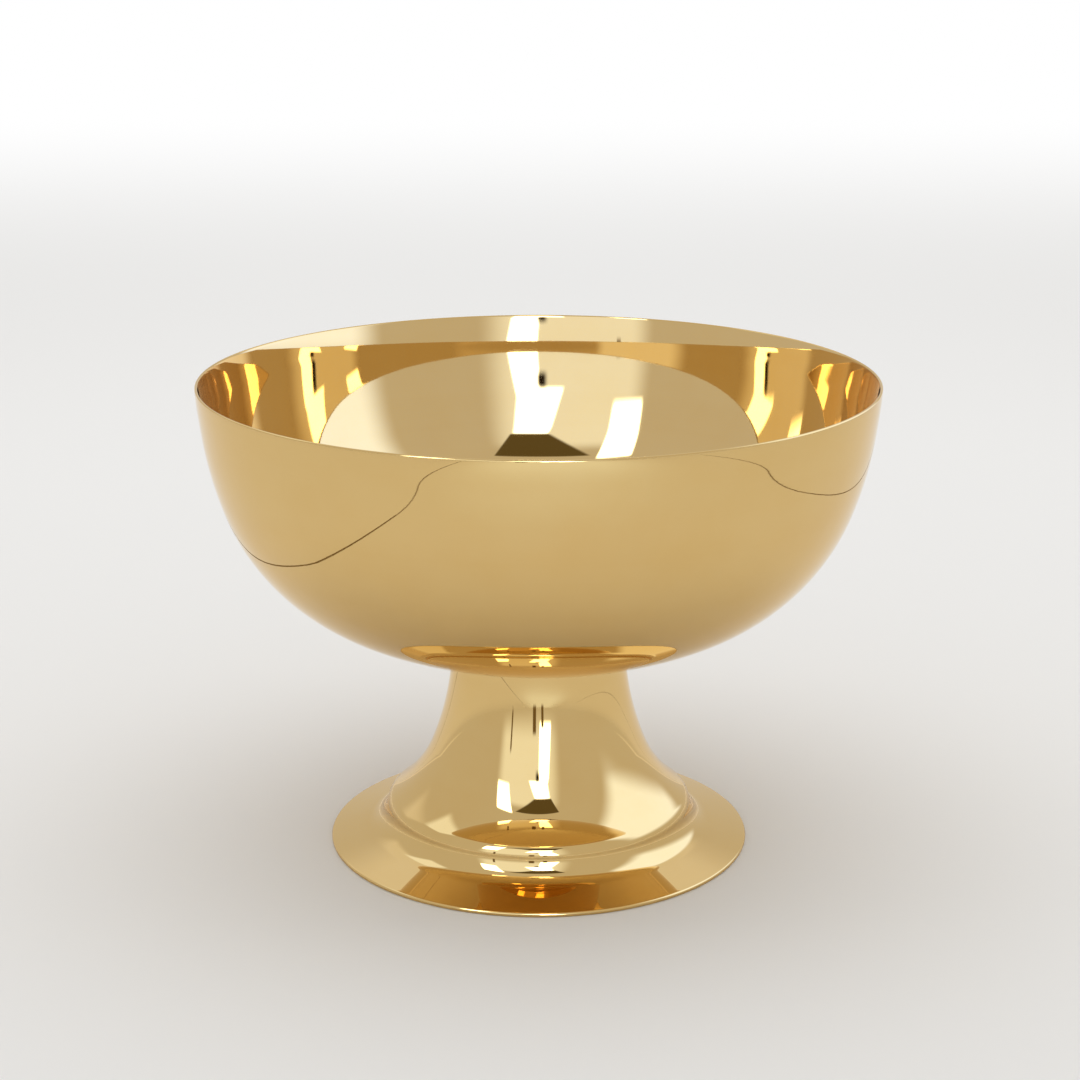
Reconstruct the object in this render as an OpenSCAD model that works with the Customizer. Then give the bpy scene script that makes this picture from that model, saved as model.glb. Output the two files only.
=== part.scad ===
// Open ciborium: a thin spun bowl on a hollow trumpet foot.
// A stud brazed under the bowl passes through the foot's dished top and is drawn up by a nut inside the foot.
// Millimetres, +Z up, origin on the axis in the plane that the foot stands on.

/* [Overall] */
// Height from the standing plane to the top of the rim
height = 100; // [94:0.5:108]
// Diameter across the rim
rim_d = 140; // [130:0.5:152]

/* [Bowl] */
// Depth of the bowl outside, from the rim to its lowest point
bowl_depth = 59.2; // [55:0.1:63]
// Thickness of the bowl's sheet
bowl_wall = 0.6; // [0.5:0.1:1.2]
// Extra thickness of the bead burnished along the rim
bead_extra = 0.1; // [0.1:0.05:0.6]
// Height of the lip that turns outwards up to the rim
lip_h = 6.5; // [4:0.1:9]
// Radius of the lip's outward curve
lip_r = 93; // [70:1:140]
// Lean of the wall from the vertical where the lip begins, in degrees
wall_lean = 6.3; // [4:0.1:9]
// Radius of the upright side
side_r = 83; // [76:0.5:92]
// Radius of the shoulder between the side and the bottom
shoulder_r = 42; // [36:0.5:47]
// Radius of the dished bottom
bottom_r = 102; // [90:1:120]

/* [Foot] */
// Diameter of the flange that the foot stands on
flange_d = 89.2; // [82:0.2:104]
// Thickness of the foot's sheet
foot_wall = 1; // [0.8:0.1:1.4]
// Diameter of the throat, the narrowest place under the bowl
throat_d = 36.6; // [32:0.2:42]
// Rise of the throat's level above the bowl's lowest point
throat_rise = 3.4; // [2:0.1:8]
// Radius of the neck's long curve below the throat
neck_r = 62; // [52:0.5:80]
// Lean of the wall from the vertical where the neck's curve turns into the flare, in degrees
flare_lean = 22; // [16:0.5:26]
// Diameter where the flare ends and the roll of the moulding begins
flare_d = 62.4; // [59:0.2:65]
// Height of the flare's end
flare_z = 9.9; // [9.4:0.1:12]
// Clearance between the bowl and the foot's dished top
seat_gap = 0.05; // [0.02:0.01:0.2]

/* [Moulding] */
// Radius of the roll that the flare runs into
roll_r = 3.4; // [2.6:0.1:4.2]
// Lean of the wall from the vertical where the roll turns into the hollow, in degrees
roll_lean = 6; // [2:0.5:12]
// Radius of the hollow below the roll
hollow_r = 5.5; // [4.5:0.1:6.5]
// Width of the flat ring under the flange's edge that the foot stands on
stand_w = 1; // [0.6:0.1:3]

/* [Stud joint] */
// Diameter of the boss brazed under the bowl
boss_d = 16; // [12:0.5:20]
// Height of the boss below the bowl's lowest point
boss_h = 3.4; // [2:0.1:5]
// Radial clearance of the boss in the foot's top
boss_clearance = 0.15; // [0.05:0.05:0.4]
// Gap that the brazing fills between the boss and the bowl
braze_gap = 0.05; // [0.02:0.01:0.1]
// Diameter of the stud
stud_d = 6; // [4:0.5:8]
// Radial clearance between the stud and the threads that it screws into
thread_clearance = 0.05; // [0.02:0.01:0.1]
// Length of the stud that stands out below the nut
stud_end = 3; // [1:0.5:6]
// Depth from the bowl's lowest point to the top of the stud
stud_depth = 0.6; // [0.3:0.1:1.5]
// Bevel on the ends of the stud
stud_bevel = 0.7; // [0.3:0.1:1]

/* [Clamp] */
// Diameter of the clamp cup
clamp_d = 26; // [24:0.5:29]
// Width of the clamp cup's rim
clamp_rim = 3; // [2:0.1:4]
// Thickness of the clamp cup's floor
clamp_floor = 2; // [1.2:0.1:3]
// Free height between the boss and the clamp cup's floor
clamp_room = 0.8; // [0.3:0.1:2]
// Bevel round the clamp cup's lower edge
clamp_bevel = 0.8; // [0.4:0.1:1.2]
// Clearance between the clamp cup and the foot's top
clamp_gap = 0.05; // [0.02:0.01:0.1]
// Radial clearance of the washers round the stud
washer_clearance = 0.25; // [0.1:0.05:0.5]
// Diameter of the spring washer
spring_d = 11.6; // [9:0.1:14]
// Thickness of the spring washer
spring_t = 1.6; // [1:0.1:2]
// Width of the split in the spring washer
spring_split = 1; // [0.5:0.1:2]
// Slant of the split from the stud's direction, in degrees
spring_slant = 20; // [0:1:30]
// Width of the nut across its flats
nut_flats = 10; // [9:0.5:14]
// Height of the nut
nut_h = 5; // [3:0.1:7]
// Angle of the bevel on the nut's corners, in degrees
nut_bevel = 30; // [15:1:40]
// Distance that the nut's round bearing face stays inside its flats
nut_relief = 0.3; // [0.1:0.1:0.6]
// Gap between the faces of the stacked washers and nut
stack_gap = 0.02; // [0.01:0.01:0.05]

/* [Hidden] */
$fn = 240;

gold = [0.86, 0.69, 0.36];
brass = [0.75, 0.62, 0.34];
zinc = [0.72, 0.72, 0.70];

// Overlap of shapes that are joined or cut
over = 1;
// Overlap of neighbouring bands of a section, where the band with the inner curve runs on inside its neighbour
lap = 0.2;

function direction(lean) = [cos(lean), -sin(lean)];
function lean_of(v) = atan2(-v[1], v[0]);
function outward(lean) = [cos(lean), sin(lean)];

// Bowl outside, worked downwards from the rim. A lean is the wall's angle from the vertical.
// The middle of the sheet runs up to the middle of the bead.
bead_d = bowl_wall + bead_extra;
rim_lean = asin(sin(wall_lean) + lip_h / lip_r);
rim_c = [rim_d / 2 - bead_d / 2, height - bead_d / 2];
lip_c = rim_c + (lip_r + bowl_wall / 2) * direction(rim_lean);
side_start = lip_c - lip_r * direction(wall_lean);
side_c = side_start - side_r * direction(wall_lean);
pole_z = height - bowl_depth;
bottom_c = [0, pole_z + bottom_r];

// The shoulder's centre is where two circles cross, one about the side's centre and one about the bottom's.
side_span = side_r - shoulder_r;
bottom_span = bottom_r - shoulder_r;
between = side_c - bottom_c;
apart = norm(between);
along = (apart * apart + bottom_span * bottom_span - side_span * side_span) / (2 * apart);
across = sqrt(bottom_span * bottom_span - along * along);
shoulder_c = bottom_c + along * between / apart + across * [-between[1], between[0]] / apart;
side_lean = lean_of(shoulder_c - side_c);
bottom_lean = lean_of(shoulder_c - bottom_c);

// Foot outside: the neck's curve is centred level with the throat, and the flare's curve joins it
// at the chosen lean and runs out to the flare's end.
neck_c = [throat_d / 2 + neck_r, pole_z + throat_rise];
flare_edge = [flare_d / 2, flare_z];
flare_dir = outward(flare_lean);
edge_v = flare_edge - neck_c;
edge_along = edge_v * flare_dir;
flare_r = (edge_v * edge_v + 2 * neck_r * edge_along + neck_r * neck_r) / (2 * (edge_along + neck_r));
flare_c = neck_c - (neck_r - flare_r) * flare_dir;
flare_end_lean = atan2(flare_c[1] - flare_edge[1], flare_c[0] - flare_edge[0]);

// Moulding: the roll follows the flare smoothly and the hollow follows the roll. The flange runs straight
// from the hollow to its rounded edge and touches both.
roll_c = flare_edge - roll_r * outward(flare_end_lean);
hollow_c = roll_c + (roll_r + hollow_r) * outward(roll_lean);
edge_c = [flange_d / 2 - foot_wall / 2, foot_wall / 2];
edge_to_hollow = hollow_c - edge_c;
flange_lean = atan2(edge_to_hollow[1], edge_to_hollow[0])
  - acos((hollow_r + foot_wall / 2) / norm(edge_to_hollow));
edge_top = edge_c + foot_wall / 2 * outward(flange_lean);
edge_under = edge_c - foot_wall / 2 * outward(flange_lean);
stand_r = edge_c[0] - stand_w;
stand_z = edge_under[1] + (edge_under[0] - stand_r) / tan(flange_lean);

// Stud joint, worked downwards from the bowl's lowest point
boss_z = pole_z - boss_h;
hole_r = boss_d / 2 + boss_clearance;
top_under_r = bottom_r + seat_gap + foot_wall;
clamp_floor_z = boss_z - clamp_room - clamp_floor;
spring_z = clamp_floor_z - stack_gap - spring_t;
nut_z = spring_z - stack_gap - nut_h;
stud_top_z = pole_z - stud_depth;
stud_low_z = nut_z - stud_end;
washer_r = stud_d / 2 + washer_clearance;
tapped_r = stud_d / 2 + thread_clearance;
nut_corner_r = nut_flats / 2 / cos(30);
nut_face_r = nut_flats / 2 - nut_relief;
nut_bevel_r = nut_corner_r + over;
nut_bevel_h = (nut_bevel_r - nut_face_r) * tan(nut_bevel);

// A level band of the section's plane, from the axis out to a radius
module band(low, high, r) {
  translate([0, low])
    square([r, high - low]);
}

// Everything inside the bowl's outline moved in by a distance, in bands: lip, side, shoulder and bottom
module bowl_filled(inset, top) {
  lip_low = (side_c + (side_r - inset) * direction(wall_lean))[1];
  side_low = (shoulder_c + (shoulder_r - inset) * direction(side_lean))[1];
  shoulder_low = (bottom_c + (bottom_r - inset) * direction(bottom_lean))[1];
  difference() {
    band(lip_low, top, rim_d / 2);
    translate(lip_c)
      circle(lip_r + inset);
  }
  intersection() {
    band(side_low, lip_low + lap, rim_d);
    translate(side_c)
      circle(side_r - inset);
  }
  intersection() {
    band(shoulder_low - lap, side_low + lap, rim_d);
    union() {
      translate(shoulder_c)
        circle(shoulder_r - inset);
      band(shoulder_low - lap, side_low + lap, shoulder_c[0]);
    }
  }
  intersection() {
    band(0, shoulder_low, rim_d);
    translate(bottom_c)
      circle(bottom_r - inset);
  }
}

// The bowl's section: a sheet of one thickness with a bead along the rim
module bowl_section() {
  difference() {
    bowl_filled(0, rim_c[1]);
    bowl_filled(bowl_wall, height);
  }
  translate(rim_c)
    circle(bead_d / 2);
}

module bowl() {
  color(gold)
    rotate_extrude()
      bowl_section();
}

// Everything inside the foot's outline drawn in by a distance, in bands: neck, flare, roll, hollow and flange.
// The top is cut to fit under the bowl, and the flange's band is closed by two points at its outer end.
module foot_filled(inset, top_r, flange_low, flange_high) {
  neck_low = (neck_c - (neck_r + inset) * flare_dir)[1];
  flare_low = (flare_c - (flare_r + inset) * outward(flare_end_lean))[1];
  roll_low = (roll_c + (roll_r - inset) * outward(roll_lean))[1];
  flange_start = hollow_c - (hollow_r + inset) * outward(flange_lean);
  difference() {
    band(neck_low - lap, height, neck_c[0]);
    translate(neck_c)
      circle(neck_r + inset);
    translate(bottom_c)
      circle(top_r);
  }
  difference() {
    band(flare_low, neck_low, flare_c[0]);
    translate(flare_c)
      circle(flare_r + inset);
  }
  intersection() {
    band(roll_low - lap, flare_low + lap, flange_d);
    union() {
      translate(roll_c)
        circle(roll_r - inset);
      band(roll_low - lap, flare_low + lap, roll_c[0]);
    }
  }
  difference() {
    band(flange_start[1], roll_low, hollow_c[0]);
    translate(hollow_c)
      circle(hollow_r + inset);
  }
  polygon([
    [0, flange_low[1]],
    flange_low,
    flange_high,
    [flange_start[0] - lap * tan(flange_lean), flange_start[1] + lap],
    [0, flange_start[1] + lap]
  ]);
}

module foot_outside() {
  foot_filled(0, bottom_r + seat_gap, [edge_c[0], 0], edge_top);
  translate(edge_c)
    circle(foot_wall / 2);
}

module foot_inside() {
  foot_filled(foot_wall, top_under_r, [stand_r, -over], [stand_r, stand_z]);
}

module foot() {
  color(gold)
    rotate_extrude()
      difference() {
        foot_outside();
        foot_inside();
        band(0, height, hole_r);
      }
}

module stud_boss() {
  color(brass)
    rotate_extrude()
      difference() {
        translate([tapped_r, boss_z])
          square([boss_d / 2 - tapped_r, 2 * boss_h]);
        translate(bottom_c)
          circle(bottom_r + braze_gap);
      }
}

module threaded_stud() {
  color(zinc)
    rotate_extrude()
      polygon([
        [0, stud_low_z],
        [stud_d / 2 - stud_bevel, stud_low_z],
        [stud_d / 2, stud_low_z + stud_bevel],
        [stud_d / 2, stud_top_z - stud_bevel],
        [stud_d / 2 - stud_bevel, stud_top_z],
        [0, stud_top_z]
      ]);
}

module clamp_cup() {
  bevel_z = clamp_floor_z + clamp_bevel;
  recess_r = clamp_d / 2 - clamp_rim;
  recess_z = clamp_floor_z + clamp_floor;
  color(brass)
    rotate_extrude()
      difference() {
        polygon([
          [washer_r, clamp_floor_z],
          [clamp_d / 2 - clamp_bevel, clamp_floor_z],
          [clamp_d / 2, bevel_z],
          [clamp_d / 2, height],
          [recess_r, height],
          [recess_r, recess_z],
          [washer_r, recess_z]
        ]);
        translate(bottom_c)
          circle(top_under_r + clamp_gap);
      }
}

module spring_washer() {
  color(zinc)
    difference() {
      translate([0, 0, spring_z])
        rotate_extrude()
          translate([washer_r, 0])
            square([spring_d / 2 - washer_r, spring_t]);
      translate([spring_d / 2, 0, spring_z + spring_t / 2])
        rotate([spring_slant, 0, 0])
          cube([spring_d, spring_split, 4 * spring_t], center = true);
    }
}

module hex_nut() {
  color(zinc)
    translate([0, 0, nut_z])
      difference() {
        intersection() {
          linear_extrude(nut_h)
            circle(nut_corner_r, $fn = 6);
          rotate_extrude()
            polygon([
              [0, 0],
              [nut_face_r, 0],
              [nut_bevel_r, nut_bevel_h],
              [nut_bevel_r, nut_h - nut_bevel_h],
              [nut_face_r, nut_h],
              [0, nut_h]
            ]);
        }
        translate([0, 0, -over])
          cylinder(h = nut_h + 2 * over, r = tapped_r);
      }
}

bowl();
foot();
stud_boss();
threaded_stud();
clamp_cup();
spring_washer();
hex_nut();
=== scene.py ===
"""Looks of an open ciborium: polished bowl, moulded foot, screwed joint, and a light tent round them."""

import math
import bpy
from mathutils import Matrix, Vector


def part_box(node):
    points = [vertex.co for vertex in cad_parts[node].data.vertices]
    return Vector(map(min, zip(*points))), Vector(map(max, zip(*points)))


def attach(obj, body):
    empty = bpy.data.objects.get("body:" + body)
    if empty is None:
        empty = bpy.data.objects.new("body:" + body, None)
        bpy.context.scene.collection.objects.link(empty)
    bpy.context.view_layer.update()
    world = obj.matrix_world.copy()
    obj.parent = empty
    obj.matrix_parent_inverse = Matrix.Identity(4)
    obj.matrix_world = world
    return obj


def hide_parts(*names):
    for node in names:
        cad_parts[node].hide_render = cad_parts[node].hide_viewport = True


bl_info = {
    "name": "Open Ciborium",
    "version": (1, 0, 0),
    "blender": (4, 5, 0),
    "location": "3D View > Sidebar > Ciborium",
    "description": "Makes the bowl, the foot and the screwed joint of an open ciborium, and its stage",
    "category": "Object",
}

import bmesh
import bpy
from mathutils import Matrix, Vector

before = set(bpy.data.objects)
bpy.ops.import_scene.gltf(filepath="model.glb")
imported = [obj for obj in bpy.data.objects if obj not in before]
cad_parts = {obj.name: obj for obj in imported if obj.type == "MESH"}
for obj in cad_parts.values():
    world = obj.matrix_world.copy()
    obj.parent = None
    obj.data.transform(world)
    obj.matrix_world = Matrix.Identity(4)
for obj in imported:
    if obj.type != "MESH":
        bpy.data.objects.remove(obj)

MM = 0.001
RIGHT_ANGLE = math.pi / 2
FULL_TURN = 2 * math.pi
AXIS = (0.0, 0.0, 1.0)
ORIGIN = (0.0, 0.0, 0.0)
WHITE = (1.0, 1.0, 1.0)

# Points nearer than these distances count as one, along an outline and in a finished mesh.
SAME_POINT = 1e-7
WELD = 1e-6
# A full turn is spun as one sector, which is then repeated.
SECTORS = 8
# Edges flatter than the first angle are shaded smoothly, and those sharper than the others are rounded.
SMOOTH_EDGE = math.radians(40)
SHARP_SPUN_EDGE = math.radians(25)
SHARP_TURNED_EDGE = math.radians(30)

# Half the floor's width, and how much paler its mottling is.
FLOOR_REACH = 6.0
PALER = 1.012
# The distances at which the floor's paint begins to fade, is all cloth, and is all white behind.
FADE_START = 0.3
CLOTH_START = 1.1
WHITE_START = 1.5
# The ends of a unit sheet's edge, the width of a seam, and the height of strips over the floor.
UNIT_EDGE = (-0.5, 0.5)
SEAM_WIDTH = 2.0 * MM
STRIP_LIFT = 0.3 * MM
# The softbox, and how often light may be mirrored on its way.
SOFTBOX_SIZE = (1.6, 1.2)
SOFTBOX_PLACE = (0.0, 0.25, 1.1)
BOUNCES = 16
# The photograph's camera, with its angle below the level, and its lens and sensor in millimetres.
CAMERA_PLACE = (0.0, -0.47724, 0.20203)
CAMERA_DIP = 0.278945
CAMERA_LENS = 79.142
CAMERA_SENSOR = 36.0
CAMERA_SHIFT = 0.0012
CAMERA_NEAR = 0.01

BOWL_LOW, BOWL_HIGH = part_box("bowl")
FOOT_LOW, FOOT_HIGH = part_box("foot")
STUD_LOW, STUD_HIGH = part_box("threaded_stud")
CLAMP_LOW, CLAMP_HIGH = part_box("clamp_cup")
WASHER_LOW, WASHER_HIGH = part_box("spring_washer")


def length(name, description, metres):
    """A length that a user may change, with its default in metres."""
    return bpy.props.FloatProperty(
        name=name,
        description=description,
        default=metres,
        min=0.0,
        precision=5,
        subtype="DISTANCE",
        unit="LENGTH",
    )


def lean(name, description, degrees):
    """An angle that a user may change, with its default in degrees."""
    return bpy.props.FloatProperty(
        name=name,
        description=description,
        default=math.radians(degrees),
        subtype="ANGLE",
        unit="ROTATION",
    )


def tint(name, description, colour):
    """A linear colour that a user may change."""
    return bpy.props.FloatVectorProperty(
        name=name,
        description=description,
        default=colour,
        min=0.0,
        max=1.0,
        size=3,
        subtype="COLOR",
    )


def level(name, description, value):
    """A plain number from nought upwards, such as a roughness or a brightness."""
    return bpy.props.FloatProperty(name=name, description=description, default=value, min=0.0, precision=4)


def count(name, description, value):
    """A whole number of steps."""
    return bpy.props.IntProperty(name=name, description=description, default=value, min=3)


class BowlSizes(bpy.types.PropertyGroup):
    """Sizes of the spun bowl, worked downwards from its rim."""

    height: length("Height", "Height of the rim above the standing plane", BOWL_HIGH.z)
    rim_diameter: length("Rim", "Diameter across the rim", BOWL_HIGH.x - BOWL_LOW.x)
    depth: length("Depth", "Depth outside, from the rim to the lowest point", BOWL_HIGH.z - BOWL_LOW.z)
    wall: length("Wall", "Thickness of the sheet at the bottom and at the rim", 0.6 * MM)
    lip_height: length("Lip height", "Height of the lip that turns outwards inside", 6.5 * MM)
    lip_radius: length("Lip radius", "Radius of the lip's outward curve", 93.0 * MM)
    wall_lean: lean("Wall lean", "Lean of the inner wall where the lip begins", 6.3)
    side_radius: length("Side radius", "Radius of the inner side, plus the wall", 83.0 * MM)
    shoulder_radius: length("Shoulder radius", "Radius of the inner shoulder, plus the wall", 42.0 * MM)
    bottom_radius: length("Bottom radius", "Radius of the dished bottom outside", 102.0 * MM)
    edge_lean: lean("Edge lean", "Lean of the outside just below the rim", 1.4)
    face_lean: lean("Face lean", "Lean of the outside where it is straightest", 7.3)
    face_drop: length("Face drop", "Drop from the rim to where the outside is straightest", 6.0 * MM)
    face_blend: length("Face blend", "Height over which the side's curve fades below that", 5.5 * MM)
    full_side_radius: length("Full side radius", "Radius of the fuller side outside", 76.0 * MM)
    full_shoulder_radius: length("Full shoulder radius", "Radius of the shoulder outside", 44.0 * MM)
    segments: count("Segments", "Steps round the axis", 280)


class FootSizes(bpy.types.PropertyGroup):
    """Sizes of the spun foot."""

    flange_diameter: length("Flange", "Diameter of the flange", FOOT_HIGH.x - FOOT_LOW.x)
    wall: length("Wall", "Thickness of the sheet", 1.0 * MM)
    throat_diameter: length("Throat", "Narrowest diameter, under the bowl", 36.6 * MM)
    throat_rise: length("Throat rise", "Rise of the throat above the bowl's lowest point", 3.4 * MM)
    neck_radius: length("Neck radius", "Radius of the neck's long curve", 62.0 * MM)
    flare_lean: lean("Flare lean", "Lean of the wall where the neck turns into the flare", 22.0)
    flare_diameter: length("Flare", "Diameter where the flare ends and the roll begins", 62.4 * MM)
    flare_height: length("Flare height", "Height of the flare's end", 9.9 * MM)
    roll_radius: length("Roll", "Radius of the roll that the flare runs into", 3.4 * MM)
    roll_lean: lean("Roll lean", "Lean of the wall where the roll turns into the hollow", 6.0)
    hollow_radius: length("Hollow", "Radius of the hollow below the roll", 5.5 * MM)
    stand: length("Standing ring", "Width of the flat ring under the flange's edge", 1.0 * MM)
    seat_gap: length("Seat gap", "Clearance between the bowl and the foot's dished top", 0.05 * MM)
    hole_diameter: length("Hole", "Diameter of the hole in the dished top", 16.3 * MM)
    edge_round: length("Edge rounding", "Width of the burnished edges", 0.08 * MM)
    segments: count("Segments", "Steps round the axis", 256)


class JointSizes(bpy.types.PropertyGroup):
    """Sizes of the stud, the clamp cup and the spring washer inside the foot."""

    stud_diameter: length("Stud", "Diameter over the thread", STUD_HIGH.x - STUD_LOW.x)
    stud_low: length("Stud end", "Height of the stud's lower end", STUD_LOW.z)
    stud_high: length("Stud top", "Height of the stud's upper end", STUD_HIGH.z)
    stud_bevel: length("Stud bevel", "Bevel on the ends of the stud", 0.7 * MM)
    pitch: length("Pitch", "Pitch of the thread", 1.0 * MM)
    thread_segments: count("Thread segments", "Steps in one turn of the thread", 60)
    clamp_diameter: length("Clamp cup", "Diameter of the clamp cup", CLAMP_HIGH.x - CLAMP_LOW.x)
    clamp_low: length("Clamp underside", "Height of the clamp cup's underside", CLAMP_LOW.z)
    clamp_rim: length("Clamp rim", "Width of the clamp cup's rim", 3.0 * MM)
    clamp_floor: length("Clamp floor", "Thickness of the clamp cup's floor", 2.0 * MM)
    clamp_bevel: length("Clamp bevel", "Bevel round the clamp cup's lower edge", 0.8 * MM)
    clamp_gap: length("Clamp gap", "Clearance between the clamp cup and the foot's top", 0.05 * MM)
    clamp_segments: count("Clamp segments", "Steps round the clamp cup", 128)
    bore: length("Bore", "Bore of the clamp cup and the spring washer", 6.5 * MM)
    washer_diameter: length("Washer", "Diameter of the spring washer", WASHER_HIGH.y - WASHER_LOW.y)
    washer_low: length("Washer underside", "Height of the washer's underside", WASHER_LOW.z)
    washer_high: length("Washer top", "Height of the washer's top", WASHER_HIGH.z)
    washer_split: length("Washer split", "Width of the washer's split", 1.0 * MM)
    washer_slant: lean("Washer slant", "Slant of the washer's split", 20.0)
    washer_segments: count("Washer segments", "Steps round the spring washer", 120)
    edge_round: length("Edge rounding", "Width of the broken edges", 0.16 * MM)


class Finishes(bpy.types.PropertyGroup):
    """Colours and polish of the metals."""

    gold: tint("Gold", "Colour of the polished gold plate", (0.735, 0.51, 0.205))
    warm_gold: tint("Warm gold", "Colour where the plate is a little thicker", (0.72, 0.485, 0.182))
    satin_gold: tint("Satin gold", "Colour of the plate inside the foot", (0.84, 0.58, 0.22))
    brass: tint("Brass", "Colour of the turned brass", (0.72, 0.5, 0.2))
    brown_brass: tint("Brown brass", "Colour of the brass where it has dulled", (0.46, 0.29, 0.1))
    zinc: tint("Zinc", "Colour of the zinc-plated steel", (0.58, 0.58, 0.56))
    yellow_zinc: tint("Yellow zinc", "Colour of the zinc where its coat shows yellow", (0.6, 0.55, 0.4))
    polish: level("Polish", "Least roughness of the polished plate", 0.022)
    edge_gold: tint("Edge gold", "Tint of the polished plate seen at a low angle", (1.0, 0.93, 0.8))
    lacquer: level("Lacquer", "Share of the clear lacquer over the polished plate outside", 0.25)
    inner_lacquer: level("Inner lacquer", "Share of the clear lacquer over the plate inside the bowl", 1.0)
    lacquer_polish: level("Lacquer polish", "Roughness of the clear lacquer", 0.02)
    haze: level("Haze", "Roughness added where the polish is hazy", 0.03)
    buffing: length("Buffing", "Height of the slow waves that buffing leaves", 0.03 * MM)
    lathe_lines: length("Lathe lines", "Height of the fine lines that spinning leaves", 0.0004 * MM)


class StageLook(bpy.types.PropertyGroup):
    """Floor, tent and lamps."""

    floor: tint("Floor", "Colour of the floor", (0.8, 0.8, 0.8))
    far_floor: level("Far floor", "Brightness of the floor far behind, where 1 is white", 1.0)
    tent: tint("Tent", "Colour of the tent's cloth as the metal mirrors it", (0.71, 0.7, 0.68))
    mouth: level("Mouth", "Brightness of the tent's open mouth", 9.0)
    window: level("Window", "Brightness of the tent's windows", 2.4)
    flap: level("Flap", "Brightness of the lit cloth round the tent's mouth", 1.6)
    back: level("Back", "Brightness of the lit cloth high behind the vessel", 0.95)
    pool: level("Pool", "Brightness of the daylight on the floor before the tent's mouth", 1.22)
    lamp: level("Lamp", "Power of the softbox over the vessel in watts", 7.0)


class CiboriumSettings(bpy.types.PropertyGroup):
    """Everything that a user would change."""

    bowl: bpy.props.PointerProperty(type=BowlSizes, name="Bowl", description="Sizes of the bowl")
    foot: bpy.props.PointerProperty(type=FootSizes, name="Foot", description="Sizes of the foot")
    joint: bpy.props.PointerProperty(type=JointSizes, name="Joint", description="Sizes of the screwed joint")
    finish: bpy.props.PointerProperty(type=Finishes, name="Finish", description="Colours and polish")
    stage: bpy.props.PointerProperty(type=StageLook, name="Stage", description="Floor, tent and lamps")


class Signal:
    """An output socket of a finish, on which plain arithmetic adds Math nodes."""

    def __init__(self, board, socket):
        self.board = board
        self.socket = socket

    def of(self, output):
        """Another output of the same node."""
        return Signal(self.board, self.socket.node.outputs[output])

    def __add__(self, other):
        return self.board.math("ADD", self, other)

    def __radd__(self, other):
        return self.board.math("ADD", other, self)

    def __sub__(self, other):
        return self.board.math("SUBTRACT", self, other)

    def __rsub__(self, other):
        return self.board.math("SUBTRACT", other, self)

    def __mul__(self, other):
        return self.board.math("MULTIPLY", self, other)

    def __rmul__(self, other):
        return self.board.math("MULTIPLY", other, self)

    def __pow__(self, other):
        return self.board.math("POWER", self, other)

    def __rpow__(self, other):
        return self.board.math("POWER", other, self)


class Board:
    """The node tree of one finish or of the world."""

    def __init__(self, owner):
        self.owner = owner
        owner.use_nodes = True
        self.tree = owner.node_tree
        self.tree.nodes.clear()

    def node(self, kind, settings=None, inputs=None, output=0):
        """Adds a node, sets its settings, then its sockets, and returns one of its outputs."""
        made = self.tree.nodes.new(kind)
        for name, value in (settings or {}).items():
            setattr(made, name, value)
        for name, value in (inputs or {}).items():
            if isinstance(value, Signal):
                self.tree.links.new(value.socket, made.inputs[name])
            else:
                made.inputs[name].default_value = value
        if not made.outputs:
            return None
        return Signal(self, made.outputs[output])

    def math(self, operation, first, second):
        """A Math node on two numbers or signals."""
        return self.node("ShaderNodeMath", {"operation": operation}, {0: first, 1: second})

    def noise(self, place, scale, detail, roughness=0.5):
        """Soft noise from nought to one."""
        return self.node(
            "ShaderNodeTexNoise",
            {"noise_dimensions": "3D"},
            {"Vector": place, "Scale": scale, "Detail": detail, "Roughness": roughness},
        )

    def between(self, low, high, signal):
        """The part of a signal between two levels, stretched smoothly to run from nought to one."""
        return self.node(
            "ShaderNodeMapRange",
            {"interpolation_type": "SMOOTHSTEP"},
            {"Value": signal, "From Min": low, "From Max": high},
        )

    def blend(self, amount, first, second):
        """A colour between two colours."""
        return self.node(
            "ShaderNodeMix",
            {"data_type": "RGBA"},
            {0: amount, 6: opaque(first), 7: opaque(second)},
            2,
        )

    def lathe_place(self):
        """Object coordinates, and the same place as radius and height, in which spun lines are straight."""
        place = self.node("ShaderNodeTexCoord", output="Object")
        x = self.node("ShaderNodeSeparateXYZ", inputs={"Vector": place})
        y = x.of("Y")
        z = x.of("Z")
        radius = (x * x + y * y) ** 0.5
        rings = self.node("ShaderNodeCombineXYZ", inputs={"X": radius, "Z": z})
        return place, rings

    def metal(self, colour, roughness, height, coat=None):
        """A metal surface, whose height is its relief in metres; coat sets further sockets."""
        normal = self.node("ShaderNodeBump", inputs={"Strength": 1.0, "Distance": 1.0, "Height": height})
        shader = self.node(
            "ShaderNodeBsdfPrincipled",
            inputs={
                "Base Color": colour,
                "Metallic": 1.0,
                "Roughness": roughness,
                "Normal": normal,
                **(coat or {}),
            },
        )
        self.node("ShaderNodeOutputMaterial", inputs={"Surface": shader})
        return self.owner


def opaque(colour):
    """A colour socket's value from a colour of three parts; a signal passes through."""
    if isinstance(colour, Signal):
        return colour
    return (colour[0], colour[1], colour[2], 1.0)


def finish_named(name, make, settings):
    """The finish of that name, made on first use."""
    known = bpy.data.materials.get(name)
    if known is not None and known.get("ciborium_finish"):
        return known
    made = make(Board(bpy.data.materials.new(name)), settings)
    made["ciborium_finish"] = True
    return made


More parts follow.
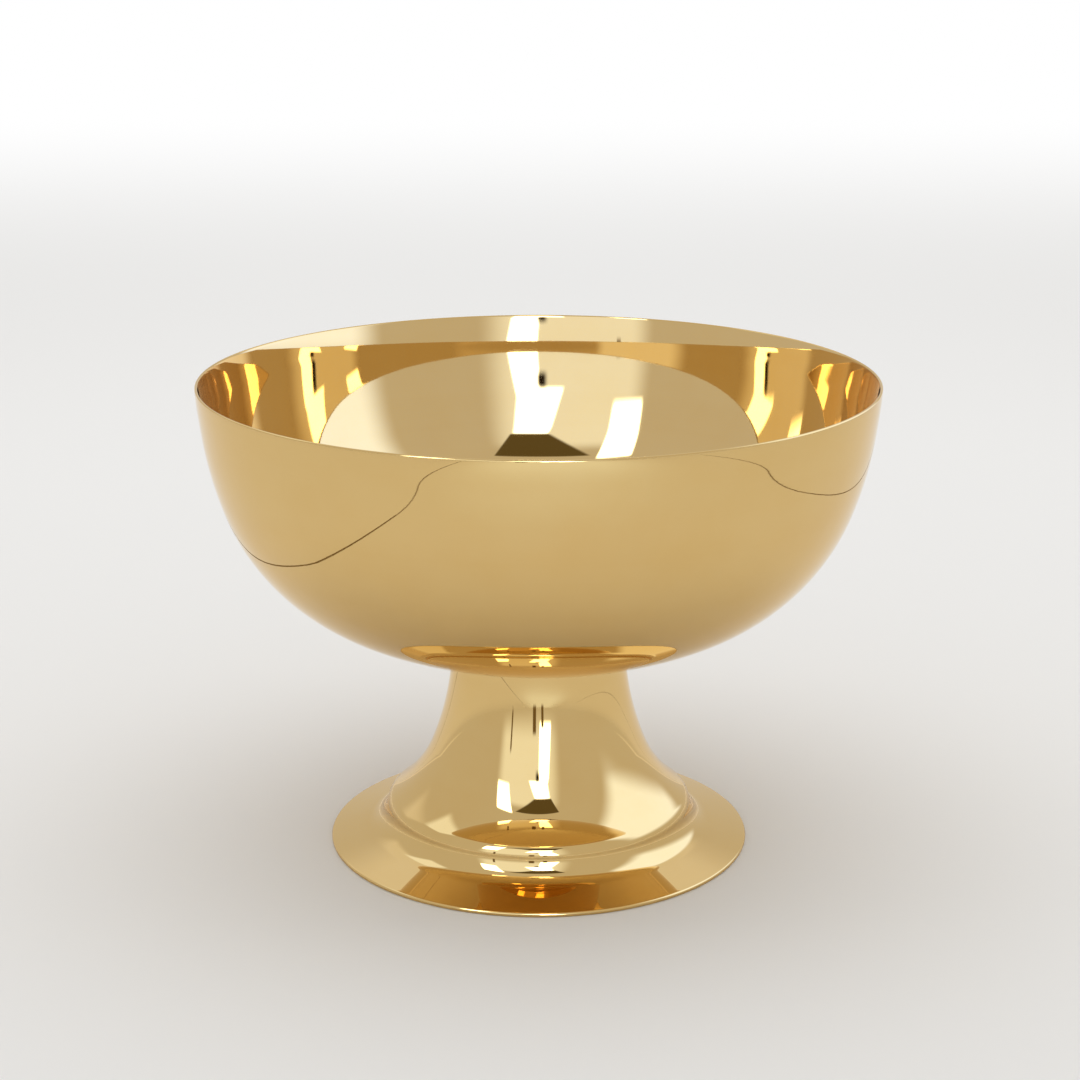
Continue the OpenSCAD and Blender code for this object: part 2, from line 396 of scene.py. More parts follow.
def gold_plate(board, finish, lacquer, edge):
    """Mirror-polished gold plate with slow buffing waves and the last trace of the lathe."""
    place, rings = board.lathe_place()
    lines = board.noise(rings, 1500.0, 2.0)
    bands = board.noise(rings, 160.0, 3.0)
    waves = board.noise(place, 38.0, 1.0)
    cloud = board.noise(place, 70.0, 4.0, 0.6)
    thicker = board.between(0.35, 0.75, cloud * 0.6 + bands * 0.4)
    colour = board.blend(thicker, finish.gold, finish.warm_gold)
    roughness = finish.polish + board.between(0.4, 0.8, cloud) * lines * finish.haze
    height = waves * finish.buffing + lines * finish.lathe_lines
    coat = {
        "Specular Tint": opaque(edge),
        "Coat Weight": lacquer,
        "Coat Roughness": finish.lacquer_polish,
    }
    return board.metal(colour, roughness, height, coat)


def polished_gold(board, finish):
    """The plate outside, nearly bare."""
    return gold_plate(board, finish, finish.lacquer, finish.edge_gold)


def gilt_inside(board, finish):
    """The plate inside the bowl, under its lacquer."""
    return gold_plate(board, finish, finish.inner_lacquer, WHITE)


def satin_gold(board, finish):
    """Gold plate over spun brass that was only brushed, inside the foot."""
    place, rings = board.lathe_place()
    lines = board.noise(rings, 2400.0, 3.0)
    bands = board.noise(rings, 240.0, 3.0)
    cloud = board.noise(place, 60.0, 4.0, 0.6)
    worn = board.between(0.3, 0.8, cloud * 0.5 + bands * 0.5)
    colour = board.blend(worn, finish.satin_gold, finish.brass)
    roughness = 0.22 + cloud * 0.12 + lines * 0.1
    height = lines * (0.004 * MM) + bands * (0.01 * MM)
    return board.metal(colour, roughness, height)


def turned_brass(board, finish):
    """Brass as it comes off the lathe, dulled in patches."""
    place, rings = board.lathe_place()
    lines = board.noise(rings, 3000.0, 2.0)
    cloud = board.noise(place, 150.0, 5.0, 0.6)
    colour = board.blend(board.between(0.45, 0.8, cloud), finish.brass, finish.brown_brass)
    roughness = 0.24 + cloud * 0.16
    return board.metal(colour, roughness, lines * (0.006 * MM))


def zinc_steel(board, finish):
    """Zinc-plated steel with a faint yellow coat."""
    place = board.node("ShaderNodeTexCoord", output="Object")
    cloud = board.noise(place, 260.0, 4.0, 0.6)
    grain = board.noise(place, 2600.0, 2.0)
    colour = board.blend(board.between(0.4, 0.75, cloud), finish.zinc, finish.yellow_zinc)
    roughness = 0.3 + cloud * 0.16
    return board.metal(colour, roughness, grain * (0.004 * MM))


def glowing(name, colour, strength, soft):
    """A paint that shines evenly; soft is the share of a sheet over which it fades towards each edge."""
    board = Board(bpy.data.materials.new(name))
    glow = board.node("ShaderNodeEmission", inputs={"Color": opaque(colour), "Strength": strength})
    u = board.node("ShaderNodeSeparateXYZ", inputs={"Vector": board.node("ShaderNodeUVMap")})
    v = u.of("Y")
    across = board.between(0.0, soft, u) * board.between(0.0, soft, 1.0 - u)
    upwards = board.between(0.0, soft, v) * board.between(0.0, soft, 1.0 - v)
    clear = board.node("ShaderNodeBsdfTransparent")
    shader = board.node("ShaderNodeMixShader", inputs={0: across * upwards, 1: clear, 2: glow})
    board.node("ShaderNodeOutputMaterial", inputs={"Surface": shader})
    return board.owner


def floor_paint(colour, tent, far):
    """Matt, faintly mottled floor paint; it turns to the tent's cloth far off, and to white far behind."""
    board = Board(bpy.data.materials.new("floor_paint"))
    place = board.node("ShaderNodeTexCoord", output="Object")
    mottle = board.noise(place, 6.0, 3.0)
    pale = [part * PALER for part in colour]
    shade = board.blend(mottle, colour, pale)
    paint = board.node("ShaderNodeBsdfDiffuse", inputs={"Color": shade, "Roughness": 0.4})
    cloth = board.node("ShaderNodeEmission", inputs={"Color": opaque(tent), "Strength": 1.0})
    white = board.node("ShaderNodeEmission", inputs={"Color": opaque(WHITE), "Strength": far})
    x = board.node("ShaderNodeSeparateXYZ", inputs={"Vector": place})
    y = x.of("Y")
    away = board.between(FADE_START, CLOTH_START, (x * x + y * y) ** 0.5)
    behind = board.between(FADE_START, WHITE_START, y)
    shader = board.node("ShaderNodeMixShader", inputs={0: away, 1: paint, 2: cloth})
    shader = board.node("ShaderNodeMixShader", inputs={0: behind, 1: shader, 2: white})
    board.node("ShaderNodeOutputMaterial", inputs={"Surface": shader})
    return board.owner


def at_angle(centre, radius, angle):
    """The point of a circle in the section's plane at an angle from the radial direction."""
    return Vector((centre[0] + radius * math.cos(angle), centre[1] + radius * math.sin(angle)))


def shares(steps):
    """The shares of a stretch at its steps, from nought to one."""
    return [i / steps for i in range(steps + 1)]


def arc(centre, radius, start, end, steps):
    """Points along an arc of the section, both ends included."""
    return [at_angle(centre, radius, start + (end - start) * share) for share in shares(steps)]


def line(start, end, steps):
    """Points along a straight stretch of the section, both ends included."""
    return [Vector(start).lerp(Vector(end), share) for share in shares(steps)]


def outline(*stretches):
    """Stretches of a section joined end to end, with shared end points kept once."""
    points = []
    for stretch in stretches:
        for point in stretch:
            if not points or (point - points[-1]).length > SAME_POINT:
                points.append(point)
    return points


def angle_of(vector):
    """Direction of a vector in the section's plane."""
    return math.atan2(vector[1], vector[0])


class BowlCurves:
    """Centres and angles of the bowl's arcs, each tangent to the next, inside and outside."""

    BOTTOM_STEPS = 44
    SHOULDER_STEPS = 52
    SIDE_STEPS = 36
    BLEND_STEPS = 14
    FACE_STEPS = 28
    LIP_STEPS = 16
    RIM_STEPS = 18

    def __init__(self, bowl):
        self.bowl = bowl
        self.rim_lean = math.asin(math.sin(bowl.wall_lean) + bowl.lip_height / bowl.lip_radius)
        self.rim = Vector((bowl.rim_diameter / 2 - bowl.wall / 2, bowl.height - bowl.wall / 2))
        self.edge = at_angle(self.rim, bowl.wall / 2, -bowl.edge_lean)
        self.face_rise = self.edge.y - bowl.height + bowl.face_drop
        self.lip = at_angle(self.rim, bowl.lip_radius + bowl.wall / 2, -self.rim_lean)
        self.side = at_angle(self.lip, -(bowl.lip_radius + bowl.side_radius), -bowl.wall_lean)
        self.slope = math.tan(bowl.face_lean)
        self.high_bend = (math.tan(bowl.edge_lean) - self.slope) / self.face_rise**2
        self.low_bend = 1 / (2 * bowl.full_side_radius * bowl.face_blend)
        self.full_lean = math.atan(self.slope + self.low_bend * bowl.face_blend**2)
        self.full_side = at_angle(
            self.face(self.low_bend, -bowl.face_blend),
            -bowl.full_side_radius,
            -self.full_lean,
        )
        self.pole = bowl.height - bowl.depth
        self.bottom = Vector((0.0, self.pole + bowl.bottom_radius))

    def crossing(self, side, side_radius, shoulder_radius):
        """Centre of a shoulder's arc, which touches the side's arc and the bottom's arc from within."""
        to_side = side_radius - shoulder_radius
        to_bottom = self.bowl.bottom_radius - shoulder_radius
        between = side - self.bottom
        apart = between.length
        along = (apart**2 + to_bottom**2 - to_side**2) / (2 * apart)
        if abs(along) > to_bottom:
            raise RuntimeError("the bowl's shoulder can't touch both its side and its bottom")
        across = math.sqrt(to_bottom**2 - along**2)
        ahead = between / apart
        return self.bottom + along * ahead + across * Vector((-ahead[1], ahead[0]))

    def face(self, bend, rise):
        """The outside at a height above where it is straightest; its bend grows evenly with that height."""
        reach = self.face_rise
        radius = self.edge.x - self.slope * reach - self.high_bend * reach**3 / 3
        return Vector((radius + self.slope * rise + bend * rise**3 / 3, self.edge.y - reach + rise))

    def rising(self, side, side_radius, shoulder_radius, top_lean, inset):
        """An outline moved in by a distance, from the lowest point up to the top of the side."""
        bottom_radius = self.bowl.bottom_radius
        shoulder = self.crossing(side, side_radius, shoulder_radius)
        side_angle = angle_of(shoulder - side)
        bottom_angle = angle_of(shoulder - self.bottom)
        return outline(
            arc(self.bottom, bottom_radius - inset, -RIGHT_ANGLE, bottom_angle, self.BOTTOM_STEPS),
            arc(shoulder, shoulder_radius - inset, bottom_angle, side_angle, self.SHOULDER_STEPS),
            arc(side, side_radius - inset, side_angle, -top_lean, self.SIDE_STEPS),
        )

    def outside(self):
        """The outside, from its lowest point up to the rounded rim, to which it turns upright."""
        bowl = self.bowl
        side_radius = bowl.full_side_radius
        shoulder_radius = bowl.full_shoulder_radius
        return outline(
            self.rising(self.full_side, side_radius, shoulder_radius, self.full_lean, 0.0),
            [self.face(self.low_bend, bowl.face_blend * (part - 1)) for part in shares(self.BLEND_STEPS)],
            [self.face(self.high_bend, self.face_rise * part) for part in shares(self.FACE_STEPS)],
        )

    def inside(self):
        """The inside, from its lowest point up to the rounded rim, to which its lip turns outwards."""
        bowl = self.bowl
        lip_radius = bowl.lip_radius + bowl.wall
        start = math.pi - bowl.wall_lean
        return outline(
            self.rising(self.side, bowl.side_radius, bowl.shoulder_radius, bowl.wall_lean, bowl.wall),
            arc(self.lip, lip_radius, start, math.pi - self.rim_lean, self.LIP_STEPS),
        )

    def rounding(self):
        """The rounded rim, from the outside over the top to the inside."""
        radius = self.bowl.wall / 2
        return arc(self.rim, radius, -self.bowl.edge_lean, math.pi - self.rim_lean, self.RIM_STEPS)


class FootCurves:
    """Centres and angles of the foot's arcs, each tangent to the next, and of its dished top."""

    EDGE_STEPS = 20
    FLANGE_STEPS = 24
    HOLLOW_STEPS = 40
    ROLL_STEPS = 20
    FLARE_STEPS = 36
    NECK_STEPS = 36
    DISH_STEPS = 24

    def __init__(self, foot, curves):
        self.foot = foot
        self.bottom = curves.bottom
        self.seat_radius = curves.bowl.bottom_radius + foot.seat_gap
        self.neck = Vector((foot.throat_diameter / 2 + foot.neck_radius, curves.pole + foot.throat_rise))
        self.edge = Vector((foot.flare_diameter / 2, foot.flare_height))
        ahead = Vector((math.cos(foot.flare_lean), math.sin(foot.flare_lean)))
        reach = self.edge - self.neck
        along = reach.dot(ahead) + foot.neck_radius
        squares = reach.length_squared + 2 * foot.neck_radius * reach.dot(ahead) + foot.neck_radius**2
        self.flare_radius = squares / (2 * along)
        self.flare = self.neck - (foot.neck_radius - self.flare_radius) * ahead
        self.end_lean = angle_of(self.flare - self.edge)
        self.roll = at_angle(self.edge, -foot.roll_radius, self.end_lean)
        self.hollow = at_angle(self.roll, foot.roll_radius + foot.hollow_radius, foot.roll_lean)
        self.rim = Vector((foot.flange_diameter / 2 - foot.wall / 2, foot.wall / 2))
        rise = self.hollow - self.rim
        self.flange_lean = angle_of(rise) - math.acos((foot.hollow_radius + foot.wall / 2) / rise.length)

    def seat_crossing(self, neck_radius, seat_radius):
        """Angle on the neck's arc at which it meets a sphere about the bowl's bottom centre."""
        between = self.bottom - self.neck
        apart = between.length
        cosine = (apart**2 + neck_radius**2 - seat_radius**2) / (2 * apart * neck_radius)
        if abs(cosine) > 1:
            raise RuntimeError("the foot's neck doesn't reach its dished top")
        return angle_of(between) + math.acos(cosine)

    def dish(self, radius, start, end):
        """The dished top's outline on a sphere, between two distances from the axis."""
        return arc(
            self.bottom,
            radius,
            -RIGHT_ANGLE + math.asin(start / radius),
            -RIGHT_ANGLE + math.asin(end / radius),
            self.DISH_STEPS,
        )

    def rising(self, inset):
        """An outline drawn in by a distance, from the flange up to the hole in the dished top."""
        foot = self.foot
        neck_radius = foot.neck_radius + inset
        seat_radius = self.seat_radius + inset
        seat_angle = self.seat_crossing(neck_radius, seat_radius)
        seat = at_angle(self.neck, neck_radius, seat_angle)
        hollow_start = math.pi + self.flange_lean
        hollow_end = math.pi + foot.roll_lean
        flare_start = math.pi + self.end_lean
        flare_end = math.pi + foot.flare_lean
        return outline(
            arc(self.hollow, foot.hollow_radius + inset, hollow_start, hollow_end, self.HOLLOW_STEPS),
            arc(self.roll, foot.roll_radius - inset, foot.roll_lean, self.end_lean, self.ROLL_STEPS),
            arc(self.flare, self.flare_radius + inset, flare_start, flare_end, self.FLARE_STEPS),
            arc(self.neck, neck_radius, flare_end, seat_angle, self.NECK_STEPS),
            self.dish(seat_radius, seat[0], foot.hole_diameter / 2),
        )

    def outside(self):
        """The polished side, from the flange's lower edge up to the hole in the dished top."""
        wall_outside = self.rising(0.0)
        rounding = arc(self.rim, self.foot.wall / 2, -RIGHT_ANGLE, self.flange_lean, self.EDGE_STEPS)
        return outline(rounding, line(rounding[-1], wall_outside[0], self.FLANGE_STEPS), wall_outside)

    def inside(self):
        """The brushed side, from the hole in the dished top down to the ring that the foot stands on."""
        wall_inside = self.rising(self.foot.wall)[::-1]
        under = at_angle(self.rim, -self.foot.wall / 2, self.flange_lean)
        stand = self.rim[0] - self.foot.stand
        step = (stand, under[1] + (under[0] - stand) / math.tan(self.flange_lean))
        return outline(
            line(self.outside()[-1], wall_inside[0], 3),
            wall_inside,
            line(wall_inside[-1], step, 8),
            line(step, (stand, 0.0), 1),
            line((stand, 0.0), (self.rim[0], 0.0), 2),
        )


def spin_outline(mesh, points, segments, finish_place=0, angle=FULL_TURN, start=0.0):
    """Spins a section's outline round the axis and gives the new faces their finish."""
    turn = Matrix.Rotation(start, 3, "Z")
    verts = [mesh.verts.new(turn @ Vector((radius, 0.0, height))) for radius, height in points]
    edges = [mesh.edges.new(ends) for ends in zip(verts, verts[1:])]
    first_vert = len(mesh.verts) - len(verts)
    first_face = len(mesh.faces)
    sectors = SECTORS if angle == FULL_TURN else 1
    bmesh.ops.spin(
        mesh,
        geom=verts + edges,
        cent=ORIGIN,
        axis=AXIS,
        angle=angle / sectors,
        steps=segments // sectors,
    )
    mesh.verts.ensure_lookup_table()
    mesh.faces.ensure_lookup_table()
    for face in mesh.faces[first_face:]:
        face.material_index = finish_place
    if sectors > 1:
        bmesh.ops.spin(
            mesh,
            geom=mesh.verts[first_vert:] + mesh.faces[first_face:],
            cent=ORIGIN,
            axis=AXIS,
            angle=angle * (sectors - 1) / sectors,
            steps=sectors - 1,
            use_duplicate=True,
        )


def weld(mesh, distance=WELD):
    """Merges points that lie together and turns the faces outwards."""
    bmesh.ops.remove_doubles(mesh, verts=mesh.verts[:], dist=distance)
    bmesh.ops.recalc_face_normals(mesh, faces=mesh.faces[:])


def break_edges(mesh, width, least_angle, segments=3):
    """Rounds every edge that is sharper than an angle."""
    sharp = [edge for edge in mesh.edges if edge.is_manifold and edge.calc_face_angle() > least_angle]
    bmesh.ops.bevel(
        mesh,
        geom=sharp,
        offset=width,
        offset_type="OFFSET",
        segments=segments,
        profile=0.5,
        affect="EDGES",
        material=-1,
    )


def add_piece(name, mesh, finishes, node):
    """Makes a closed mesh an object that stands for a node of the frame."""
    open_edges = sum(1 for edge in mesh.edges if not edge.is_manifold)
    if open_edges:
        raise RuntimeError(f"{name} has {open_edges} edges that aren't closed")
    for face in mesh.faces:
        face.smooth = True
    for edge in mesh.edges:
        edge.smooth = edge.calc_face_angle() < SMOOTH_EDGE
    data = bpy.data.meshes.new(name)
    mesh.to_mesh(data)
    mesh.free()
    for finish in finishes:
        data.materials.append(finish)
    piece = bpy.data.objects.new(name, data)
    bpy.context.scene.collection.objects.link(piece)
    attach(piece, "root")
    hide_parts(node)


def dress_node(node, finish):
    """Gives a node of the frame that stays in view its finish."""
    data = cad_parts[node].data
    data.materials.clear()
    data.materials.append(finish)


class CIBORIUM_OT_make_bowl(bpy.types.Operator):
    """Spin the polished bowl with its turned-out lip and its rounded rim"""

    bl_idname = "ciborium.make_bowl"
    bl_label = "Make Bowl"

    def execute(self, context):
        settings = context.scene.ciborium
        curves = BowlCurves(settings.bowl)
        mesh = bmesh.new()
        spin_outline(mesh, outline(curves.outside(), curves.rounding()), settings.bowl.segments, 0)
        spin_outline(mesh, curves.inside()[::-1], settings.bowl.segments, 1)
        weld(mesh)
        gold = finish_named("polished_gold", polished_gold, settings.finish)
        gilt = finish_named("gilt_inside", gilt_inside, settings.finish)
        add_piece("ciborium_bowl", mesh, [gold, gilt], "bowl")
        return {"FINISHED"}


class CIBORIUM_OT_make_foot(bpy.types.Operator):
    """Spin the hollow foot with its flare, its roll and its flange"""

    bl_idname = "ciborium.make_foot"
    bl_label = "Make Foot"

    def execute(self, context):
        settings = context.scene.ciborium
        curves = FootCurves(settings.foot, BowlCurves(settings.bowl))
        mesh = bmesh.new()
        spin_outline(mesh, curves.outside(), settings.foot.segments, 0)
        spin_outline(mesh, curves.inside(), settings.foot.segments, 1)
        weld(mesh)
        break_edges(mesh, settings.foot.edge_round, SHARP_SPUN_EDGE)
        gold = finish_named("polished_gold", polished_gold, settings.finish)
        satin = finish_named("satin_gold", satin_gold, settings.finish)
        add_piece("ciborium_foot", mesh, [gold, satin], "foot")
        return {"FINISHED"}


class CIBORIUM_OT_make_screw(bpy.types.Operator):
    """Cut the thread of the stud, and finish the nut on it"""

    bl_idname = "ciborium.make_screw"
    bl_label = "Make Stud and Nut"

    # The thread's depth and flats in pitches, and the turns that are trimmed off both ends together.
    DEPTH = 0.5413
    ROOT_FLAT = 0.25
    CREST_FLAT = 0.125
    SPARE_TURNS = 3
    # Neighbouring turns meet within this distance.
    TURN_WELD = 0.01 * MM

    def execute(self, context):
        settings = context.scene.ciborium
        zinc = finish_named("zinc_steel", zinc_steel, settings.finish)
        mesh = bmesh.new()
        self.cut_thread(mesh, settings.joint)
        add_piece("ciborium_threaded_stud", mesh, [zinc], "threaded_stud")
        dress_node("hex_nut", zinc)
        return {"FINISHED"}

    def cut_thread(self, mesh, joint):
        """Winds one pitch of the thread's section up the stud, and trims and bevels its ends."""
        steps = joint.thread_segments
        pitch = joint.pitch
        crest = joint.stud_diameter / 2
        root = crest - self.DEPTH * pitch
        start = joint.stud_low - self.SPARE_TURNS / 2 * pitch
        turns = math.ceil((joint.stud_high - joint.stud_low) / pitch) + self.SPARE_TURNS
        flank = (1.0 - self.ROOT_FLAT - self.CREST_FLAT) / 2
        crest_start = self.ROOT_FLAT + flank
        crest_end = crest_start + self.CREST_FLAT
        section = [
            (root, 0.0),
            (root, self.ROOT_FLAT),
            (crest, crest_start),
            (crest, crest_end),
            (root, 1.0),
        ]
        verts = [mesh.verts.new((radius, 0.0, start + share * pitch)) for radius, share in section]
        edges = [mesh.edges.new(ends) for ends in zip(verts, verts[1:])]
        bmesh.ops.spin(
            mesh,
            geom=verts + edges,
            cent=ORIGIN,
            axis=AXIS,
            dvec=(0.0, 0.0, pitch / steps),
            angle=FULL_TURN * turns,
            steps=steps * turns,
        )
        weld(mesh, self.TURN_WELD)
        for height, clear_above in ((joint.stud_low, False), (joint.stud_high, True)):
            bmesh.ops.bisect_plane(
                mesh,
                geom=mesh.verts[:] + mesh.edges[:] + mesh.faces[:],
                plane_co=(0.0, 0.0, height),
                plane_no=AXIS,
                clear_outer=clear_above,
                clear_inner=not clear_above,
            )
        for vert in mesh.verts:
            end = min(vert.co.z - joint.stud_low, joint.stud_high - vert.co.z)
            most = crest - joint.stud_bevel + end
            radius = vert.co.xy.length
            if radius > most:
                vert.co.xy = vert.co.xy * (most / radius)
        ends = [edge for edge in mesh.edges if edge.is_boundary]
        bmesh.ops.holes_fill(mesh, edges=ends, sides=0)
        weld(mesh)


class CIBORIUM_OT_make_clamp(bpy.types.Operator):
    """Turn the clamp cup, wind the spring washer, and finish the boss above them"""

    bl_idname = "ciborium.make_clamp"
    bl_label = "Make Clamp Cup and Washer"

    def execute(self, context):
        settings = context.scene.ciborium
        brass = finish_named("turned_brass", turned_brass, settings.finish)
        zinc = finish_named("zinc_steel", zinc_steel, settings.finish)
        curves = FootCurves(settings.foot, BowlCurves(settings.bowl))
        cup = bmesh.new()
        self.turn_cup(cup, settings.joint, curves)
        add_piece("ciborium_clamp_cup", cup, [brass], "clamp_cup")
        washer = bmesh.new()
        self.wind_washer(washer, settings.joint)
        add_piece("ciborium_spring_washer", washer, [zinc], "spring_washer")
        dress_node("stud_boss", brass)
        return {"FINISHED"}

    def turn_cup(self, mesh, joint, curves):
        """Spins the cup's section, whose rim fits the underside of the foot's dished top."""
        bore = joint.bore / 2
        outer = joint.clamp_diameter / 2
        recess = outer - joint.clamp_rim
        low = joint.clamp_low
        floor = low + joint.clamp_floor
        rim = curves.dish(curves.seat_radius + curves.foot.wall + joint.clamp_gap, outer, recess)
        section = outline(
            line((bore, low), (outer - joint.clamp_bevel, low), 8),
            line((outer - joint.clamp_bevel, low), (outer, low + joint.clamp_bevel), 2),
            line((outer, low + joint.clamp_bevel), rim[0], 4),
            rim,
            line(rim[-1], (recess, floor), 3),
            line((recess, floor), (bore, floor), 4),
            line((bore, floor), (bore, low), 3),
        )
        spin_outline(mesh, section, joint.clamp_segments)
        weld(mesh)
        break_edges(mesh, joint.edge_round, SHARP_TURNED_EDGE)

    def wind_washer(self, mesh, joint):
        """Winds the washer's section round the stud, and slants the split between its ends."""
        bore = joint.bore / 2
        outer = joint.washer_diameter / 2
        low = joint.washer_low
        high = joint.washer_high
        middle = (bore + outer) / 2
        gap = joint.washer_split / middle
        corners = [(bore, low), (outer, low), (outer, high), (bore, high), (bore, low)]
        section = [Vector(corner) for corner in corners]
        spin_outline(mesh, section, joint.washer_segments, angle=FULL_TURN - gap, start=gap / 2)
        weld(mesh)
        ends = [edge for edge in mesh.edges if edge.is_boundary]
        bmesh.ops.holes_fill(mesh, edges=ends, sides=4)
        twist = (high - low) / 2 * math.tan(joint.washer_slant) / middle
        for vert in mesh.verts:
            share = 1.0 if vert.co.z > (low + high) / 2 else -1.0
            vert.co = Matrix.Rotation(-twist * share, 3, "Z") @ vert.co
        bmesh.ops.recalc_face_normals(mesh, faces=mesh.faces[:])
        break_edges(mesh, joint.edge_round, SHARP_TURNED_EDGE, 2)


def add_stage_object(name, mesh, paint):
    """Makes a mesh an object of the stage."""
    data = bpy.data.meshes.new(name)
    mesh.to_mesh(data)
    mesh.free()
    data.materials.append(paint)
    thing = bpy.data.objects.new(name, data)
    bpy.context.scene.collection.objects.link(thing)
    return thing


class CIBORIUM_OT_set_stage(bpy.types.Operator):
    """Lay the floor, hang the tent's panels, and place the lamps and the camera"""

    bl_idname = "ciborium.set_stage"
    bl_label = "Set Stage"

    def execute(self, context):
        look = context.scene.ciborium.stage
        self.lay_floor(look)
        self.hang_tent(look)
        self.place_lamps(look)
        self.place_camera(context)
        context.scene.view_settings.view_transform = "Standard"
        context.scene.cycles.max_bounces = BOUNCES
        context.scene.cycles.glossy_bounces = BOUNCES
        return {"FINISHED"}

    def lay_floor(self, look):
        """A wide matt floor that runs out to white behind the vessel."""
        mesh = bmesh.new()
        bmesh.ops.create_grid(mesh, x_segments=8, y_segments=8, size=FLOOR_REACH)
        add_stage_object("floor", mesh, floor_paint(look.floor, look.tent, look.far_floor))

    def hang_sheet(self, name, place, paint, lower):
        """A unit sheet with a shaped lower edge, put in its place; only the metal sees it."""
        mesh = bmesh.new()
        mesh.loops.layers.uv.new("sheet")
        bmesh.ops.create_grid(mesh, x_segments=1, y_segments=1, size=UNIT_EDGE[1], calc_uvs=True)
        for vert in mesh.verts:
            if vert.co.y < 0:
                vert.co.x = lower[0] if vert.co.x < 0 else lower[1]
        bmesh.ops.transform(mesh, matrix=place, verts=mesh.verts[:])
        sheet = add_stage_object(name, mesh, paint)
        sheet.visible_camera = False
        sheet.visible_diffuse = False
        sheet.visible_shadow = False

    def hang_upright(self, name, low, high, paint, lower=UNIT_EDGE):
        """An upright sheet between two corners; lower has its lower edge's ends, in shares of its width."""
        low = Vector(low)
        high = Vector(high)
        way = high.xy - low.xy
        place = Matrix.Translation((low + high) / 2) @ Matrix.Rotation(angle_of(way), 4, "Z")
        upright = place @ Matrix.Rotation(RIGHT_ANGLE, 4, "X")
        size = Matrix.Diagonal((way.length, high.z - low.z, 1.0, 1.0))
        self.hang_sheet(name, upright @ size, paint, lower)

    def lay_flat(self, name, start, end, width, paint):
        """A strip of the floor from one point to another."""
        way = Vector(end) - Vector(start)
        middle = (Vector(start) + Vector(end)) / 2
        place = Matrix.Translation((middle[0], middle[1], STRIP_LIFT))
        turned = place @ Matrix.Rotation(angle_of(way), 4, "Z")
        size = Matrix.Diagonal((way.length, width, 1.0, 1.0))
        self.hang_sheet(name, turned @ size, paint, UNIT_EDGE)

    def hang_tent(self, look):
        """The tent's cloth as an even surround, and the sheets in it that the metal mirrors."""
        world = bpy.data.worlds.new("tent")
        board = Board(world)
        cloth = board.node("ShaderNodeBackground", inputs={"Color": opaque(look.tent), "Strength": 1.0})
        board.node("ShaderNodeOutputWorld", inputs={"Surface": cloth})
        bpy.context.scene.world = world
        mouth = glowing("tent_mouth", (0.82, 0.91, 1.0), look.mouth, 0.12)
        window = glowing("tent_window", (0.58, 0.7, 1.0), look.window, 0.2)
        flap = glowing("tent_flap", (0.74, 0.83, 1.0), look.flap, 0.2)
        back = glowing("tent_back", (0.96, 0.97, 1.0), look.back, 0.2)
        pool = glowing("floor_pool", (0.84, 0.91, 1.0), look.pool, 0.35)
        dark = glowing("dark_gap", (0.14, 0.11, 0.05), 1.0, 0.06)
        stand = glowing("camera_stand", (0.2, 0.14, 0.06), 1.0, 0.2)
        lens = glowing("lens_black", (0.02, 0.012, 0.008), 1.0, 0.4)
        seam = glowing("floor_seam", (0.22, 0.17, 0.11), 1.0, 0.16)
        self.hang_upright("front_flap", (-0.46, -0.46, 0.0), (0.21, -0.46, 0.54), flap)
        self.hang_upright("mouth_low", (-0.01, -0.45, 0.04), (0.075, -0.45, 0.25), mouth, (-0.32, 1.05))
        self.hang_upright("mouth_high", (-0.035, -0.449, 0.205), (0.1, -0.449, 0.375), mouth, (-0.9, 0.3))
        self.hang_upright("mouth_gap", (-0.23, -0.44, 0.36), (0.19, -0.44, 0.57), dark, (-0.06, 0.29))
        self.hang_upright("left_window", (-0.45, -0.44, 0.24), (-0.24, -0.44, 0.62), mouth, (-0.3, 0.42))
        self.hang_upright("right_window", (0.245, -0.12, 0.05), (0.245, 0.28, 0.42), window)
        self.hang_upright("far_left_window", (-0.5, 0.0, 0.4), (-0.42, 0.36, 0.7), flap)
        self.hang_upright("back_cloth", (-1.6, 0.8, 0.4), (1.6, 0.8, 1.7), back)
        self.hang_upright("left_stand", (-0.055, -0.43, 0.0), (-0.02, -0.43, 0.085), stand)
        self.hang_upright("right_stand", (0.02, -0.43, 0.0), (0.045, -0.43, 0.07), stand)
        self.hang_upright("mouth_edge", (-0.27, -0.43, 0.0), (-0.25, -0.43, 0.14), stand)
        self.hang_upright("lens", (-0.031, -0.43, 0.16), (0.014, -0.43, 0.22), lens)
        self.lay_flat("front_pool", (0.03, -0.15), (0.03, -0.75), 0.42, pool)
        self.lay_flat("left_seam", (-0.11, 0.3), (-0.1535, -0.5), SEAM_WIDTH, seam)
        self.lay_flat("right_seam", (0.129, 0.4), (0.308, -0.33), SEAM_WIDTH, seam)

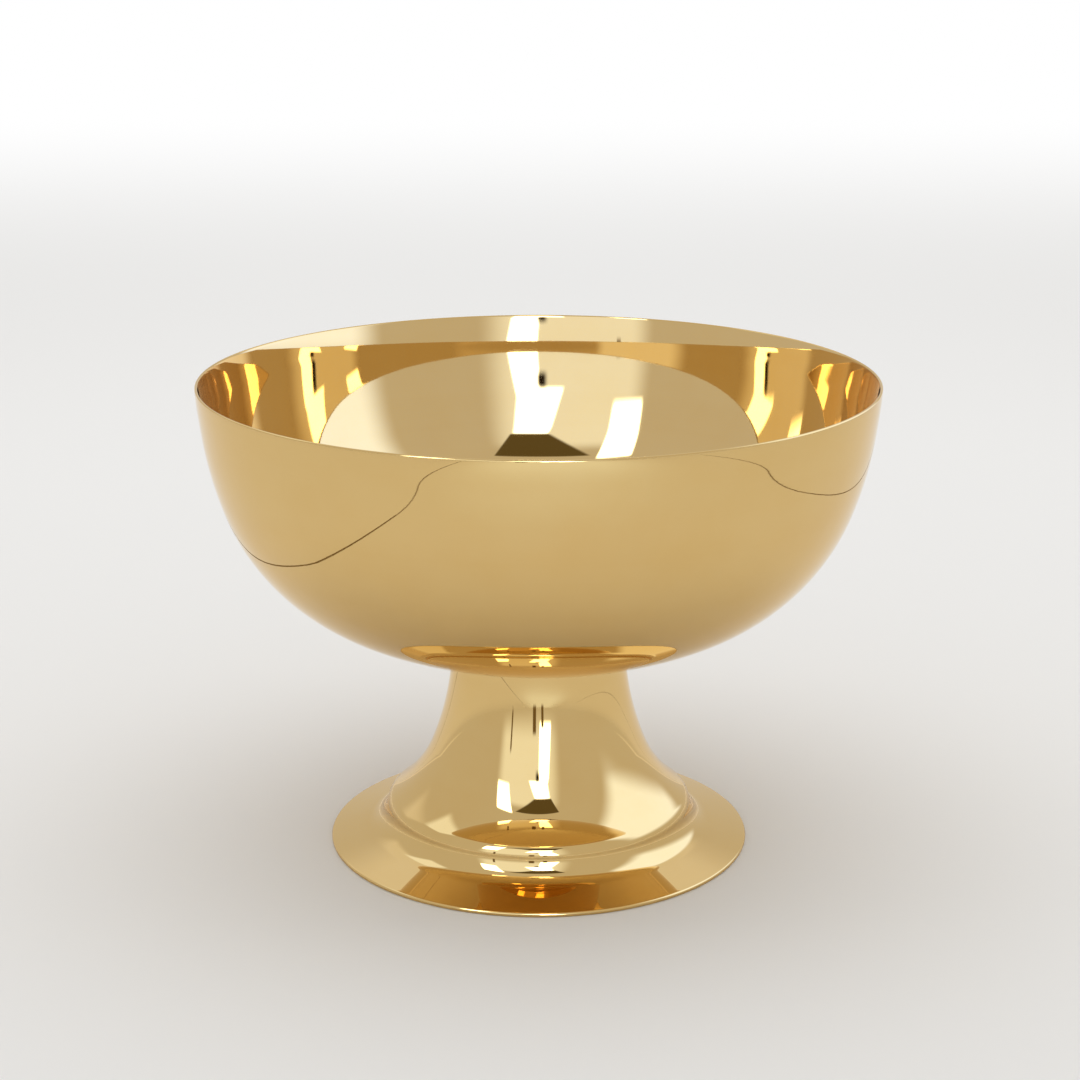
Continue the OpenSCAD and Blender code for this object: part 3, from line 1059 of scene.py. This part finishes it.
    def place_lamps(self, look):
        """One large softbox over the vessel, which lights the floor and isn't mirrored."""
        lamp = bpy.data.lights.new("softbox", "AREA")
        lamp.shape = "RECTANGLE"
        lamp.size, lamp.size_y = SOFTBOX_SIZE
        lamp.energy = look.lamp
        holder = bpy.data.objects.new("softbox", lamp)
        holder.location = SOFTBOX_PLACE
        holder.visible_glossy = False
        bpy.context.scene.collection.objects.link(holder)

    def place_camera(self, context):
        """The camera at the photograph's height, distance and angle."""
        data = bpy.data.cameras.new("camera")
        data.sensor_width = CAMERA_SENSOR
        data.lens = CAMERA_LENS
        data.shift_x = CAMERA_SHIFT
        data.clip_start = CAMERA_NEAR
        camera = bpy.data.objects.new("camera", data)
        camera.location = CAMERA_PLACE
        camera.rotation_euler = (RIGHT_ANGLE - CAMERA_DIP, 0.0, 0.0)
        context.scene.collection.objects.link(camera)
        context.scene.camera = camera


class CIBORIUM_PT_panel(bpy.types.Panel):
    """The steps that make the ciborium, in order"""

    bl_idname = "CIBORIUM_PT_panel"
    bl_label = "Ciborium"
    bl_space_type = "VIEW_3D"
    bl_region_type = "UI"
    bl_category = "Ciborium"

    def draw(self, context):
        settings = context.scene.ciborium
        column = self.layout.column()
        for step in STEPS:
            column.operator(step.bl_idname)
        for group in (settings.bowl, settings.foot, settings.joint, settings.finish, settings.stage):
            box = self.layout.box()
            for name in group.bl_rna.properties.keys():
                if name not in ("rna_type", "name"):
                    box.prop(group, name)


STEPS = (
    CIBORIUM_OT_make_bowl,
    CIBORIUM_OT_make_foot,
    CIBORIUM_OT_make_screw,
    CIBORIUM_OT_make_clamp,
    CIBORIUM_OT_set_stage,
)
GROUPS = (BowlSizes, FootSizes, JointSizes, Finishes, StageLook, CiboriumSettings)
CLASSES = (*GROUPS, *STEPS, CIBORIUM_PT_panel)


def register():
    for item in CLASSES:
        bpy.utils.register_class(item)
    bpy.types.Scene.ciborium = bpy.props.PointerProperty(type=CiboriumSettings)


def unregister():
    del bpy.types.Scene.ciborium
    for item in reversed(CLASSES):
        bpy.utils.unregister_class(item)


def main():
    """Makes every piece and the stage."""
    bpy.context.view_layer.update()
    register()
    bpy.ops.ciborium.make_bowl()
    bpy.ops.ciborium.make_foot()
    bpy.ops.ciborium.make_screw()
    bpy.ops.ciborium.make_clamp()
    bpy.ops.ciborium.set_stage()


if __name__ == "__main__":
    main()
